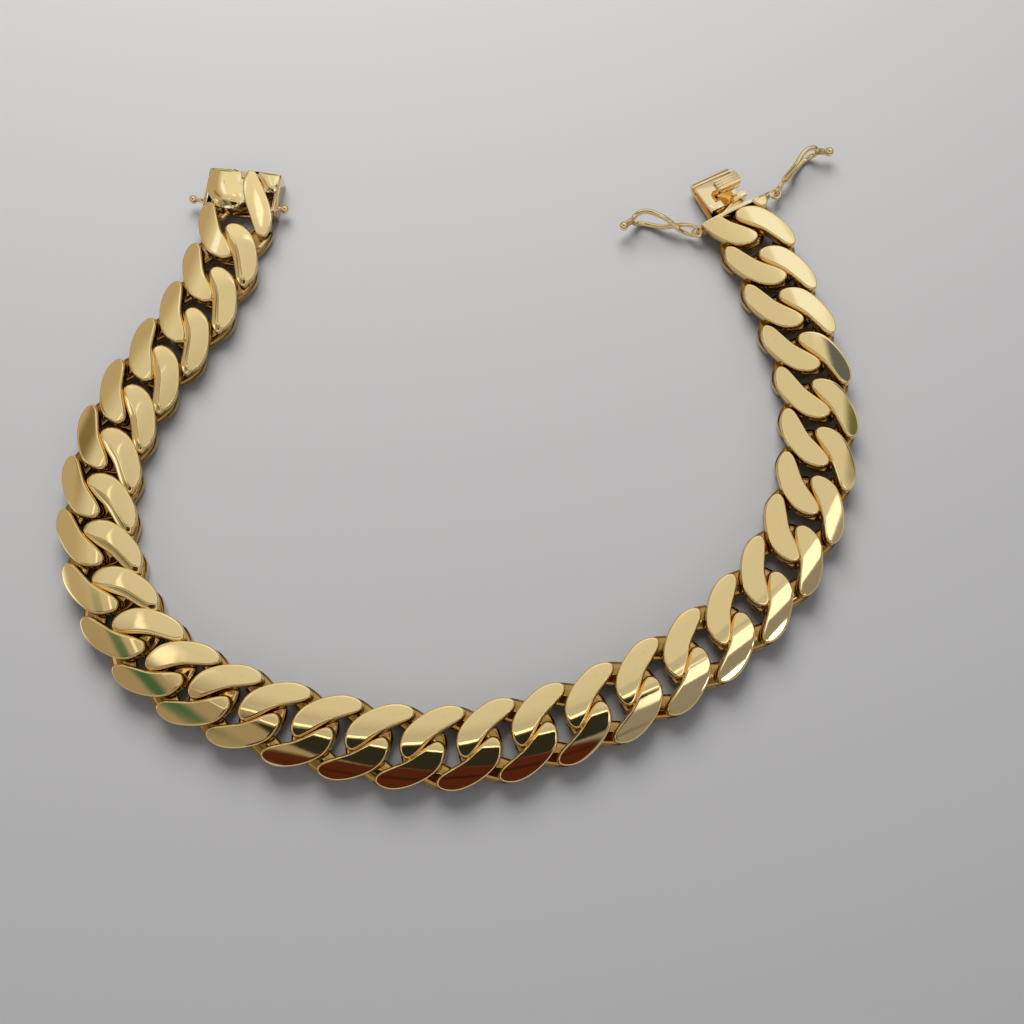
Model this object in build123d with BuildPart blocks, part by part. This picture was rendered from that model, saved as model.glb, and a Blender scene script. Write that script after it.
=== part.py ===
"""Open cuban link bracelet with a two-sided box clasp.

Thirty free curb links, a clasp box soldered to the first link, a spring tongue on the
last link and two figure-8 safety catches. Millimetres, +Z up, lying on z = 0.
"""
import os
from math import atan2, cos, degrees, pi, radians, sin

from build123d import *

# Curb link: a closed ring, twisted and pressed flat, so that two petals of it show on top
# and two on the underside. Its upper and lower layers meet where they cover each other.
LINK_LENGTH = 12.0
LINK_WIDTH = 10.2
THICKNESS = 3.5
DOME = 0.5
EDGE_ROUND = 0.3
CROSSING_GAP = 0.2
FLOOR_GAP = 0.04

# Outline of one petal in the frame of its link, x along the chain and y to the inner side,
# in shares of half the link's length and width: its body, and its tip on either side.
PETAL_BODY = ((-0.117, 0.990), (-0.393, 0.890), (-0.663, 0.714), (-0.893, 0.467),
              (-0.995, 0.178), (-0.973, -0.072), (-0.867, -0.172), (-0.683, -0.049),
              (-0.343, 0.294), (-0.122, 0.445))
TOP_TIP = ((0.102, 0.573), (0.242, 0.682), (0.300, 0.814), (0.253, 0.914), (0.100, 0.992))
UNDER_TIP = ((0.075, 0.569), (0.183, 0.676), (0.233, 0.808), (0.175, 0.906), (0.017, 0.971))

# Route of the chain, in the order box to tongue: centres of every other link, for links
# of the length ROUTE_LINK.
ROUTE_LINK = 12.0
ROUTE = [(-31.588, 32.077), (-35.718, 19.317), (-42.588, 7.957), (-46.548, -4.133),
         (-45.278, -16.503), (-38.538, -27.243), (-27.478, -33.773), (-14.418, -37.523),
         (-0.978, -38.763), (12.432, -35.913), (24.992, -30.163), (36.052, -21.733),
         (43.742, -10.243), (46.572, 2.657), (44.732, 15.757), (40.282, 28.087), (36.762, 34.037)]
START_HEADING = -102.5
END_HEADING = 119.5
LINK_COUNT = 32

# Depth by which a piece of soldered metal runs into its neighbour.
MERGE = 0.1

# Clasp box, in a frame at the first link: x towards the chain, y to the inner side.
BOX_SKEW = 5.7
BOX_MOUTH = -7.57
BOX_BACK = -1.9
BOX_LEFT = -4.95
BOX_RIGHT = 5.1
BOX_WALL = 0.5
BOX_FLOOR = 0.55
BOX_SLOT_HEIGHT = 2.1
BOX_RISE = 0.03
BOX_CORNER = 0.35
PANEL_TIP = -1.5
# Free edge of the two panels, from the left wall to the right one, in shares of the box's
# length up to the panel's tip and of the width between its walls.
PANEL_EDGE = ((0.522, 0.0), (0.819, 0.05), (0.926, 0.116), (0.984, 0.232), (1.0, 0.409),
              (0.901, 0.497), (0.481, 0.856), (0.456, 1.0))
TONGUE_CLEARANCE = 0.3
NOTCH_LENGTH = 1.65
NOTCH_WIDTH = 1.75
NOTCH_DEPTH = 0.45
NOTCH_CENTRE = -0.4
HOLE_SIZE = 0.6
HOLE_SPACING = 3.8
HOLE_SETBACK = 0.42
HOLE_CENTRE = -0.15
PIN_PLACE = -3.03
PIN_HEIGHT = 1.75
PIN_RADIUS = 0.3
BALL_RADIUS = 0.6
BALL_LEFT = 1.85
BALL_RIGHT = 1.05

# Tongue, in a frame at the last link: x into the box, y to the inner side.
TONGUE_HEADING = 117.4
RING_TURN = -1.6
BAR_FRONT = -0.26
BAR_THICKNESS = 0.5
BAR_LEFT = 4.9
BAR_RIGHT = -5.8
BAR_SINK = 0.15
LEAF_WIDTH = 5.65
LEAF_CENTRE = 0.08
LEAF_THICKNESS = 0.5
LEAF_LENGTH = 5.46
LEAF_BOTTOM = 0.65
FOLD_RADIUS = 0.9
HINGE_GAP = 0.15
LEAF_TILT = 9.5
LEAF_REACH = 4.75
STRIP_WIDTH = 1.95
STRIP_START = 2.75
THUMB_LENGTH = 1.8
THUMB_WIDTH = 3.6
THUMB_THICKNESS = 0.75
THUMB_PLACE = 2.25
THUMB_SIDE = -0.88
THUMB_CORNER = 0.35
THUMB_GROOVE = 0.13
THUMB_GROOVES = 3
STEM_HEIGHT = 0.75
STEM_LENGTH = 1.0
STEM_WIDTH = 1.5
STOP_START = 1.3
STOP_LENGTH = 0.85
STOP_WIDTH = 2.0
STOP_SIDE = -2.2
STOP_HEIGHT = 1.25

# Eye rings on the tongue's end wall, and the catches in them.
EYE_RADIUS = 0.66
EYE_WIRE = 0.19
EYE_HEIGHT = 1.65
EYE_ROOT = 0.3
EYE_LEFT = (-0.62, 5.62)
EYE_RIGHT = (-0.5, -7.0)
CATCH_WIRE = 0.26
STRAND_GAP = 0.03
CROSSING_LENGTH = 1.5
WAIST = 2.75
DROP = 1.3
SMALL_WIDTH = 1.8
BIG_LENGTH = 6.7
BIG_WIDTH = 2.6
GRIP_LENGTH = 1.65
GRIP_RADIUS = 0.34
GRIP_BALL = 0.55
BEND_START = 6.8
BEND_LENGTH = 2.8
BEND = 58.0
LEFT_HEADING = 162.1
LEFT_ROLL = 12.0
RIGHT_HEADING = 53.8
RIGHT_ROLL = -5.4


def ease(share):
    """Smooth step from 0 to 1."""
    share = min(max(share, 0.0), 1.0)
    return share * share * (3 - 2 * share)


def domed_profile(left, right, top, sink=0.0):
    """Outline in y and z of a piece as wide as the chain, with the chain's domed top."""
    middle = (left + right) / 2
    with BuildSketch() as outline:
        with BuildLine():
            Polyline((left, top - DOME - sink), (left, 0), (right, 0), (right, top - DOME - sink))
            ThreePointArc((right, top - DOME - sink), (middle, top - sink),
                          (left, top - DOME - sink))
        make_face()
    return outline.sketch


def across_plane(x):
    """Plane across the bracelet at x: its own x is y, its own y is z."""
    return Plane(origin=(x, 0, 0), x_dir=(0, 1, 0), z_dir=(1, 0, 0))


def petal_outline(tip):
    """Face of a petal in the link's frame."""
    points = [(x * LINK_LENGTH / 2, y * LINK_WIDTH / 2) for x, y in PETAL_BODY + tip]
    with BuildSketch() as outline:
        with BuildLine():
            Spline(*points, periodic=True)
        make_face()
    return outline.sketch


def petal(outline):
    """Solid petal above the ring's middle plane, with the chain's dome and a rounded edge."""
    reach = 0.55 * LINK_WIDTH
    top = THICKNESS / 2
    drop = DOME * (2 * reach / LINK_WIDTH) ** 2
    with BuildPart() as solid:
        with BuildSketch(Plane.XY.offset(CROSSING_GAP / 2)):
            add(outline)
        extrude(amount=THICKNESS)
        with BuildSketch(across_plane(-LINK_LENGTH)):
            with BuildLine():
                Polyline((-reach, top - drop), (-reach, 0), (reach, 0), (reach, top - drop))
                ThreePointArc((reach, top - drop), (0, top), (-reach, top - drop))
            make_face()
        extrude(amount=2 * LINK_LENGTH, mode=Mode.INTERSECT)
        domed_face = solid.faces().sort_by(Axis.Z)[-1]
        fillet(domed_face.edges(), EDGE_ROUND)
    return solid.part


# The link: two top petals, two mirrored ones below, and the metal that joins them where
# they cover each other.
top_outline = petal_outline(TOP_TIP)
under_outline = petal_outline(UNDER_TIP)
with BuildSketch() as top_pair:
    add(top_outline)
    add(top_outline, rotation=180)
with BuildSketch() as under_pair:
    add(under_outline)
    add(under_outline, rotation=180)
    mirror(about=Plane.XZ, mode=Mode.REPLACE)
with BuildPart() as flat_link:
    with BuildSketch(Plane.XY.offset(-CROSSING_GAP)):
        add(top_pair.sketch)
        add(under_pair.sketch, mode=Mode.INTERSECT)
    extrude(amount=2 * CROSSING_GAP)
    for turn in (0, 180):
        add(petal(top_outline), rotation=(0, 0, turn))
        add(petal(under_outline), rotation=(180, 0, turn))
with BuildPart() as link:
    with Locations((0, 0, THICKNESS / 2 + FLOOR_GAP)):
        add(flat_link.part)

# Places of the links: every other one on a given point, the rest half way between.
route_points = [(x * LINK_LENGTH / ROUTE_LINK, y * LINK_LENGTH / ROUTE_LINK) for x, y in ROUTE]
with BuildLine() as route:
    Spline(*route_points, tangents=[(cos(radians(START_HEADING)), sin(radians(START_HEADING))),
                                    (cos(radians(END_HEADING)), sin(radians(END_HEADING)))])
curve = route.edges()[0]
knots = [curve.param_at_point(Vector(*point)) for point in route_points]
places = []
for first, second in zip(knots[:-1], knots[1:]):
    places += [first, (first + second) / 2]
places = places[:LINK_COUNT - 1] + [knots[-1]]
stands = []
for place in places:
    point = curve.position_at(place, PositionMode.PARAMETER)
    along = curve.tangent_at(place, PositionMode.PARAMETER)
    stands.append((point.X, point.Y, degrees(atan2(along.Y, along.X))))

pieces = {}
for number in range(2, LINK_COUNT):
    link_x, link_y, link_heading = stands[number - 1]
    with BuildPart() as chain_link:
        with Locations(Location((link_x, link_y, 0), (0, 0, link_heading))):
            add(link.part)
    pieces[f"link_{number:02d}"] = chain_link

# Clasp box: a block with the chain's dome, cut open behind its panels, then the first
# link soldered in, then the slot for the tongue through both.
roof = THICKNESS + BOX_RISE
slot_top = BOX_FLOOR + BOX_SLOT_HEIGHT
slot_width = LEAF_WIDTH + 2 * TONGUE_CLEARANCE
left_wall = BOX_LEFT + BOX_WALL
right_wall = BOX_RIGHT - BOX_WALL
panel_edge = [(BOX_MOUTH + x * (PANEL_TIP - BOX_MOUTH), left_wall + y * (right_wall - left_wall))
              for x, y in PANEL_EDGE]
with BuildPart() as box_frame:
    with BuildSketch(across_plane(BOX_MOUTH)):
        add(domed_profile(BOX_LEFT, BOX_RIGHT, roof))
    extrude(amount=PANEL_TIP - BOX_MOUTH)
    top_edges = box_frame.edges().filter_by(Axis.X).group_by(Axis.Z)[-1]
    fillet(top_edges, BOX_CORNER)
    # Window behind the panels, down to the floor.
    with BuildSketch(Plane.XY.offset(roof)):
        with BuildLine():
            Polyline((BOX_BACK, left_wall), *panel_edge[:2])
            Spline(*panel_edge[1:6])
            Polyline(*panel_edge[5:], (BOX_BACK, right_wall), (BOX_BACK, BOX_RIGHT + BOX_WALL),
                     (0, BOX_RIGHT + BOX_WALL), (0, BOX_LEFT - BOX_WALL),
                     (BOX_BACK, BOX_LEFT - BOX_WALL), (BOX_BACK, left_wall))
        make_face()
    extrude(amount=-(roof - BOX_FLOOR), mode=Mode.SUBTRACT)
    # Under the panel's tip.
    with Locations(((BOX_BACK + PANEL_TIP) / 2, 0, slot_top / 2)):
        Box(PANEL_TIP - BOX_BACK, 3 * LINK_WIDTH, slot_top, mode=Mode.SUBTRACT)
    # Notch for the thumb piece's stem: its floor climbs to the roof.
    with BuildSketch(Plane.XZ.offset(-(NOTCH_CENTRE + NOTCH_WIDTH / 2))):
        Polygon((BOX_MOUTH, roof - NOTCH_DEPTH), (BOX_MOUTH + NOTCH_LENGTH, roof),
                (BOX_MOUTH + NOTCH_LENGTH, 2 * roof), (BOX_MOUTH, 2 * roof), align=None)
    extrude(amount=NOTCH_WIDTH, mode=Mode.SUBTRACT)
    with Locations((BOX_MOUTH + HOLE_SETBACK, HOLE_CENTRE, roof)):
        with GridLocations(0, HOLE_SPACING, 1, 2):
            Box(HOLE_SIZE, HOLE_SIZE, 2 * (roof - slot_top + MERGE), mode=Mode.SUBTRACT)

with BuildPart() as clasp_box_local:
    add(box_frame.part)
    add(link.part, rotation=(0, 0, -BOX_SKEW))
    with Locations(((BOX_MOUTH + BOX_BACK) / 2, LEAF_CENTRE, BOX_FLOOR + BOX_SLOT_HEIGHT / 2)):
        Box(BOX_BACK - BOX_MOUTH, slot_width, BOX_SLOT_HEIGHT, mode=Mode.SUBTRACT)
    # Side pins with round heads.
    for side_wall, reach, sign in ((BOX_LEFT, BALL_LEFT, -1), (BOX_RIGHT, BALL_RIGHT, 1)):
        with BuildSketch(Plane(origin=(PIN_PLACE, side_wall - sign * BOX_WALL / 2, PIN_HEIGHT),
                               x_dir=(1, 0, 0), z_dir=(0, sign, 0))):
            Circle(PIN_RADIUS)
        extrude(amount=reach + BOX_WALL / 2)
        with Locations((PIN_PLACE, side_wall + sign * reach, PIN_HEIGHT)):
            Sphere(BALL_RADIUS)

box_x, box_y, box_heading = stands[0]
with BuildPart() as clasp_box:
    with Locations(Location((box_x, box_y, 0), (0, 0, box_heading + BOX_SKEW))):
        add(clasp_box_local.part)
pieces["clasp_box"] = clasp_box

# Tongue base: the last link cut off at the end wall, the wall, the lower leaf with the
# fold, the stop block and the eye rings.
tongue_place = Location((*stands[-1][:2], 0), (0, 0, TONGUE_HEADING))
bar_back = BAR_FRONT - BAR_THICKNESS
fold_x = BAR_FRONT + LEAF_LENGTH
fold_z = LEAF_BOTTOM + FOLD_RADIUS
with BuildPart() as tongue_base_local:
    add(link.part, rotation=(0, 0, RING_TURN))
    split(bisect_by=across_plane(BAR_FRONT - BAR_THICKNESS / 2), keep=Keep.BOTTOM)
    with BuildSketch(across_plane(bar_back)):
        add(domed_profile(BAR_RIGHT, BAR_LEFT, THICKNESS, BAR_SINK))
    extrude(amount=BAR_THICKNESS)
    with BuildSketch(Plane.XZ.offset(-(LEAF_CENTRE + LEAF_WIDTH / 2))):
        with BuildLine():
            inner_fold = FOLD_RADIUS - LEAF_THICKNESS
            Line((bar_back, LEAF_BOTTOM), (fold_x, LEAF_BOTTOM))
            ThreePointArc((fold_x, LEAF_BOTTOM), (fold_x + FOLD_RADIUS, fold_z),
                          (fold_x, fold_z + FOLD_RADIUS))
            Line((fold_x, fold_z + FOLD_RADIUS), (fold_x, fold_z + inner_fold))
            ThreePointArc((fold_x, fold_z + inner_fold), (fold_x + inner_fold, fold_z),
                          (fold_x, fold_z - inner_fold))
            Polyline((fold_x, fold_z - inner_fold), (bar_back, fold_z - inner_fold),
                     (bar_back, LEAF_BOTTOM))
        make_face()
    extrude(amount=LEAF_WIDTH)
    with Locations((BAR_FRONT + STOP_START + STOP_LENGTH / 2, STOP_SIDE,
                    LEAF_BOTTOM + STOP_HEIGHT / 2 + MERGE)):
        Box(STOP_LENGTH, STOP_WIDTH, STOP_HEIGHT + 2 * MERGE)
    for eye, bar_end, sign in ((EYE_LEFT, BAR_LEFT, 1), (EYE_RIGHT, BAR_RIGHT, -1)):
        with Locations((eye[0], eye[1], EYE_HEIGHT)):
            Torus(EYE_RADIUS, EYE_WIRE)
        stub = sign * (eye[1] - bar_end) - EYE_RADIUS + EYE_ROOT
        stub_start = (BAR_FRONT - BAR_THICKNESS / 2, bar_end - sign * EYE_ROOT, EYE_HEIGHT)
        with BuildSketch(Plane(origin=stub_start, x_dir=(1, 0, 0), z_dir=(0, sign, 0))):
            Circle(EYE_WIRE)
        extrude(amount=stub)

with BuildPart() as tongue_base:
    with Locations(tongue_place):
        add(tongue_base_local.part)
pieces["tongue_base"] = tongue_base

# Spring leaf, flat along -x from its hinge line, then tilted up and placed.
leaf_side = LEAF_CENTRE + LEAF_WIDTH / 2
with BuildPart() as leaf_local:
    with BuildSketch(Plane.XY.offset(-LEAF_THICKNESS / 2)):
        with BuildLine():
            edge = leaf_side - STRIP_WIDTH
            Polyline((-HINGE_GAP, leaf_side), (-LEAF_REACH, leaf_side), (-LEAF_REACH, edge),
                     (-STRIP_START, edge), (-STRIP_START, leaf_side - LEAF_WIDTH),
                     (-HINGE_GAP, leaf_side - LEAF_WIDTH), (-HINGE_GAP, leaf_side))
        make_face()
    extrude(amount=LEAF_THICKNESS)
    with Locations((-THUMB_PLACE, THUMB_SIDE, LEAF_THICKNESS / 2 + STEM_HEIGHT / 2)):
        Box(STEM_LENGTH, STEM_WIDTH, STEM_HEIGHT + 2 * MERGE)
    head_z = LEAF_THICKNESS / 2 + STEM_HEIGHT
    with BuildSketch(Plane.XY.offset(head_z)):
        with Locations((-THUMB_PLACE, THUMB_SIDE)):
            RectangleRounded(THUMB_LENGTH, THUMB_WIDTH, THUMB_CORNER)
    extrude(amount=THUMB_THICKNESS)
    with Locations((-THUMB_PLACE, THUMB_SIDE, head_z + THUMB_THICKNESS)):
        with GridLocations(THUMB_LENGTH / (THUMB_GROOVES + 1), 0, THUMB_GROOVES, 1):
            Cylinder(THUMB_GROOVE, 2 * THUMB_WIDTH, rotation=(90, 0, 0), mode=Mode.SUBTRACT)

with BuildPart() as tongue_leaf:
    with Locations(tongue_place * Location((fold_x, 0, fold_z + FOLD_RADIUS - LEAF_THICKNESS / 2),
                                           (0, LEAF_TILT, 0))):
        add(leaf_local.part)
pieces["tongue_leaf"] = tongue_leaf


def catch_point(along, across, bend):
    """Place on a catch: straight from the eye, bent outward, then straight again."""
    turn = radians(abs(bend))
    side = 1 if bend > 0 else -1
    radius = BEND_LENGTH / turn
    share = min(max(along - BEND_START, 0), BEND_LENGTH) / BEND_LENGTH * turn
    beyond = max(along - BEND_START - BEND_LENGTH, 0)
    start = min(along, BEND_START)
    x = start + radius * sin(share) + beyond * cos(turn)
    y = radius * (1 - cos(share)) + beyond * sin(turn)
    return (x, side * y, across)


def catch_strand(side, bend):
    """One of the catch's two strands, from the tip of its small loop to that of the big one."""
    points = []
    for step in range(-6, 7):
        angle = pi * abs(step) / 6
        tip, width = (0, SMALL_WIDTH) if step < 0 else (WAIST + BIG_LENGTH, BIG_WIDTH)
        along = WAIST + (tip - WAIST) * (1 - cos(angle)) / 2
        across = DROP * width / 2 * sin(angle) * sin(angle / 2) * (-side if step < 0 else side)
        near = max(1 - abs(along - WAIST) / CROSSING_LENGTH, 0)
        x, y, z = catch_point(along, across, bend)
        points.append((x, y + side * (CATCH_WIRE + STRAND_GAP / 2) * ease(near), z))
    with BuildPart() as strand:
        with BuildLine() as path:
            Spline(*points, tangents=[(0, 0, -side), (0, 0, -side)], tangent_scalars=(1, 1))
        with BuildSketch(Plane(origin=points[0], z_dir=(0, 0, -side))):
            Circle(CATCH_WIRE)
        sweep(path=path.line)
    return strand.part


def safety_catch(bend):
    """A figure-8 catch along +x from its eye, with its loops upright, and a ball to grip."""
    root = Vector(*catch_point(WAIST + BIG_LENGTH, 0, bend))
    tip = Vector(*catch_point(WAIST + BIG_LENGTH + GRIP_LENGTH, 0, bend))
    with BuildPart() as catch:
        add(catch_strand(1, bend))
        add(catch_strand(-1, bend))
        with BuildSketch(Plane(origin=root, x_dir=(0, 0, 1), z_dir=tip - root)):
            Circle(GRIP_RADIUS)
        extrude(amount=(tip - root).length)
        with Locations(tip):
            Sphere(GRIP_BALL)
    return catch.part


for label, eye, heading, roll, bend in (
        ("safety_catch_left", EYE_LEFT, LEFT_HEADING, LEFT_ROLL, BEND),
        ("safety_catch_right", EYE_RIGHT, RIGHT_HEADING, RIGHT_ROLL, -BEND)):
    eye_place = (tongue_place * Location((eye[0], eye[1], EYE_HEIGHT))).position
    upright = Location(tuple(eye_place), (0, 0, heading))
    with BuildPart() as safety_catch_piece:
        with Locations(upright * Location((0, 0, 0), (roll, 0, 0))):
            add(safety_catch(bend))
    pieces[label] = safety_catch_piece

os.makedirs("parts", exist_ok=True)
for label, piece in pieces.items():
    piece.part.label = label
    export_step(piece.part, f"parts/{label}.step")
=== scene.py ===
# %% [markdown]
# # An open cuban link bracelet in polished gold
# The bracelet lies on a pale table in a horseshoe, with its clasp undone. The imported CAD
# model gives every place and size. This script gives the links their mirror-smooth
# surfaces, the clasp its worked edges, and the whole its gold and its studio.

from math import atan2, cos, degrees, pi, radians, sin

import bpy
import numpy as np
from mathutils import Matrix, Vector


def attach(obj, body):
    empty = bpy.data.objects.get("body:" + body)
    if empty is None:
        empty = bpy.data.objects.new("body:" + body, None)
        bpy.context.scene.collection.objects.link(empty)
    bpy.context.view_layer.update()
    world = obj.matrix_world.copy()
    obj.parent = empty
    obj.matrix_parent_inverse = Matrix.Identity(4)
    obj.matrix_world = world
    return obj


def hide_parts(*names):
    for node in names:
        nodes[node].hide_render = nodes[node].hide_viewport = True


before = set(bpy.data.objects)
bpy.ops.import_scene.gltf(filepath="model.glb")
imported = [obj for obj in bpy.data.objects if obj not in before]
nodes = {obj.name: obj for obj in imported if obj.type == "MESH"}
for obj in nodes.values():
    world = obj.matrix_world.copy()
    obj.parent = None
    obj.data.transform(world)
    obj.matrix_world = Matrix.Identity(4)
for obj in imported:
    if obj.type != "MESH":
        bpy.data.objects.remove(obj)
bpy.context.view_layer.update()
MM = 0.001
print("CAD nodes:", len(nodes))

# %% [markdown]
# ## A petal of the curb link
# A curb link starts as a round ring of wire, is twisted so that it lies flat in the chain,
# and is then pressed and ground. What is left of it on one side are two petals: each has a
# broad, faintly domed face, a crisp ridge round it, and below the ridge the round flank of
# the wire. A bevelled block couldn't give the flank its change of width, so the petal is
# drawn ring by ring. Its outline is given by few points, as shares of half a link.

# %% Sizes of a link
LINK_LENGTH = 12.0 * MM
LINK_WIDTH = 10.2 * MM
THICKNESS = 3.5 * MM
DOME = 0.5 * MM
LIFT = 0.04 * MM
MIDDLE_PLANE = THICKNESS / 2 + LIFT
half_size = np.array((LINK_LENGTH / 2, LINK_WIDTH / 2))
print("middle plane of the chain:", round(MIDDLE_PLANE / MM, 2), "mm above the table")

# %% Outline of a petal
PETAL_BODY = ((-0.117, 0.990), (-0.393, 0.890), (-0.663, 0.714), (-0.893, 0.467),
              (-0.995, 0.178), (-0.980, -0.082), (-0.875, -0.182), (-0.742, -0.122),
              (-0.550, 0.071), (-0.343, 0.284), (-0.122, 0.435))
TOP_TIP = ((0.102, 0.573), (0.242, 0.682), (0.300, 0.814), (0.253, 0.914), (0.100, 0.986))
UNDER_TIP = ((0.075, 0.569), (0.183, 0.676), (0.233, 0.808), (0.175, 0.906), (0.017, 0.971))
SPINE = ((0.16, 0.80), (-0.10, 0.72), (-0.40, 0.52), (-0.65, 0.26), (-0.84, 0.0))
OUTLINE_STEPS = 144
SPINE_STEPS = 60
print("points of a petal's outline:", len(PETAL_BODY + TOP_TIP))

# %% [markdown]
# ### Curves through few points
# A closed spline runs through the outline's points, with no kink where it closes. It is cut
# into equal steps, because uneven ones would show as ripples in a mirror-polished ridge.

# %% Curves
CURVE_STEPS = 40


def even_points(line, count):
    """Points at equal distances along a fine line."""
    run = np.concatenate(([0], np.cumsum(np.linalg.norm(np.diff(line, axis=0), axis=1))))
    places = np.linspace(0, run[-1], count)
    return np.column_stack([np.interp(places, run, line[:, axis]) for axis in (0, 1)])


def spline_slopes(given, spacing):
    """Slopes at the given points of a closed spline with no jump in its bend."""
    total = len(given)
    matrix = np.zeros((total, total))
    right = np.zeros((total, 2))
    for k in range(total):
        before, after, follow = spacing[k - 1], spacing[k], (k + 1) % total
        matrix[k, k - 1] += 1 / before
        matrix[k, k] += 2 / before + 2 / after
        matrix[k, follow] += 1 / after
        right[k] = 3 * (given[k] - given[k - 1]) / before ** 2
        right[k] += 3 * (given[follow] - given[k]) / after ** 2
    return np.linalg.solve(matrix, right)


def closed_curve(points, count):
    """Evenly spread points on a smooth closed curve through the given ones."""
    given = np.array(points)
    spacing = np.linalg.norm(np.roll(given, -1, axis=0) - given, axis=1) ** 0.5
    slopes = spline_slopes(given, spacing)
    fine = []
    for k, span in enumerate(spacing):
        follow = (k + 1) % len(given)
        for s in np.linspace(0, 1, CURVE_STEPS, endpoint=False):
            start = (2 * s ** 3 - 3 * s ** 2 + 1) * given[k]
            end = (3 * s ** 2 - 2 * s ** 3) * given[follow]
            bend = (s ** 3 - 2 * s ** 2 + s) * slopes[k] + (s ** 3 - s ** 2) * slopes[follow]
            fine.append(start + end + span * bend)
    return even_points(np.array(fine + fine[:1]), count + 1)[:-1]


def inward_of(outline):
    """Directions of length 1 that point into a closed outline."""
    ahead = np.roll(outline, -1, axis=0)
    along = ahead - np.roll(outline, 1, axis=0)
    left = np.column_stack((-along[:, 1], along[:, 0])) / np.linalg.norm(along, axis=1)[:, None]
    doubled_area = np.sum(outline[:, 0] * ahead[:, 1] - ahead[:, 0] * outline[:, 1])
    return left * np.sign(doubled_area)


def nearest_on(line, points):
    """The point of a line that is nearest to each of some points."""
    return line[np.linalg.norm(points[:, None] - line[None], axis=2).argmin(axis=1)]


def smooth_step(value, low, high):
    """0 below low, 1 above high, and an even climb between them."""
    share = np.clip((value - low) / (high - low), 0, 1)
    return share * share * (3 - 2 * share)


print("a petal's outline has", len(closed_curve(PETAL_BODY + TOP_TIP, OUTLINE_STEPS)), "steps")

# %% [markdown]
# ### From the spine to the foot
# The grinding wheel leaves the flank narrow where a petal looks outwards, and wide where it
# looks into the link's hole. Where links are pulled round a bend, more of the wide flank
# comes up. So there are two flanks, a steep and a gentle one, and each link takes a share of
# both. A flank follows a quarter of an ellipse down from the ridge.

# %% Ridge, flank and back
RIDGE = 0.15 * MM
RIDGE_TURN = pi / 3
RIDGE_STEPS = 4
FACE_STEPS = 7
# The angle on the ellipse at which a flank leaves the ridge. Its steps crowd there.
FLANK_START = radians(24)
FLANK_CROWDING = 1.3
FLANK_STEPS = 8
# Inset: how far the ridge lies inside the outline. Reach: how far the flank comes out from
# the ridge. Roll: how far the face rolls down towards the petal's blunt end.
STEEP = {"inset": 0.0 * MM, "reach": 0.22 * MM, "depth": 0.90 * MM, "roll": 0.0 * MM}
GENTLE = {"inset": 0.42 * MM, "reach": 0.92 * MM, "depth": 0.50 * MM, "roll": 0.10 * MM}
ROLL_START = 3.6 * MM
ROLL_LENGTH = 2.4 * MM
# The blunt end of an outer petal is ground a little lower, in a curve from the start on.
CHIN_BEND = 0.035 / MM
CHIN_START = 1.2 * MM
# What lies under a neighbour shows the round back of the wire. The two backs of a link
# overlap a little in its middle plane.
BACK_DROP = 0.55 * MM
BACK_ROUNDNESS = 2.4
BACK_SHARES = (1.0, 0.95, 0.84, 0.68, 0.4, 0.0)
BACK_OVERLAP = 0.02 * MM
print("steps from a petal's spine to its foot:", FACE_STEPS + RIDGE_STEPS + FLANK_STEPS)

# %% Where the flank shows
# How much a direction along the link counts beside one across it. Each pair below is where
# a change starts and where it ends.
END_WEIGHT = 0.45
HOLE_SIDE = (-0.55, 0.35)
BLUNT_END = (-6.0 * MM, -4.6 * MM)
CHAIN_EDGE = (4.2 * MM, 4.95 * MM)
LONG_SIDE = (-5.0 * MM, -2.6 * MM)


def flank_shares(outline, inward):
    """How much of a flank each point of the outline has, and how much of a long, wide one."""
    facing = smooth_step(inward[:, 1] - inward[:, 0] * END_WEIGHT, *HOLE_SIDE)
    at_end = 1 - smooth_step(outline[:, 0], *BLUNT_END)
    off_edge = 1 - smooth_step(outline[:, 1], *CHAIN_EDGE)
    hole_side = np.maximum(facing, at_end) * off_edge
    return hole_side, hole_side * smooth_step(outline[:, 0], *LONG_SIDE)


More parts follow.
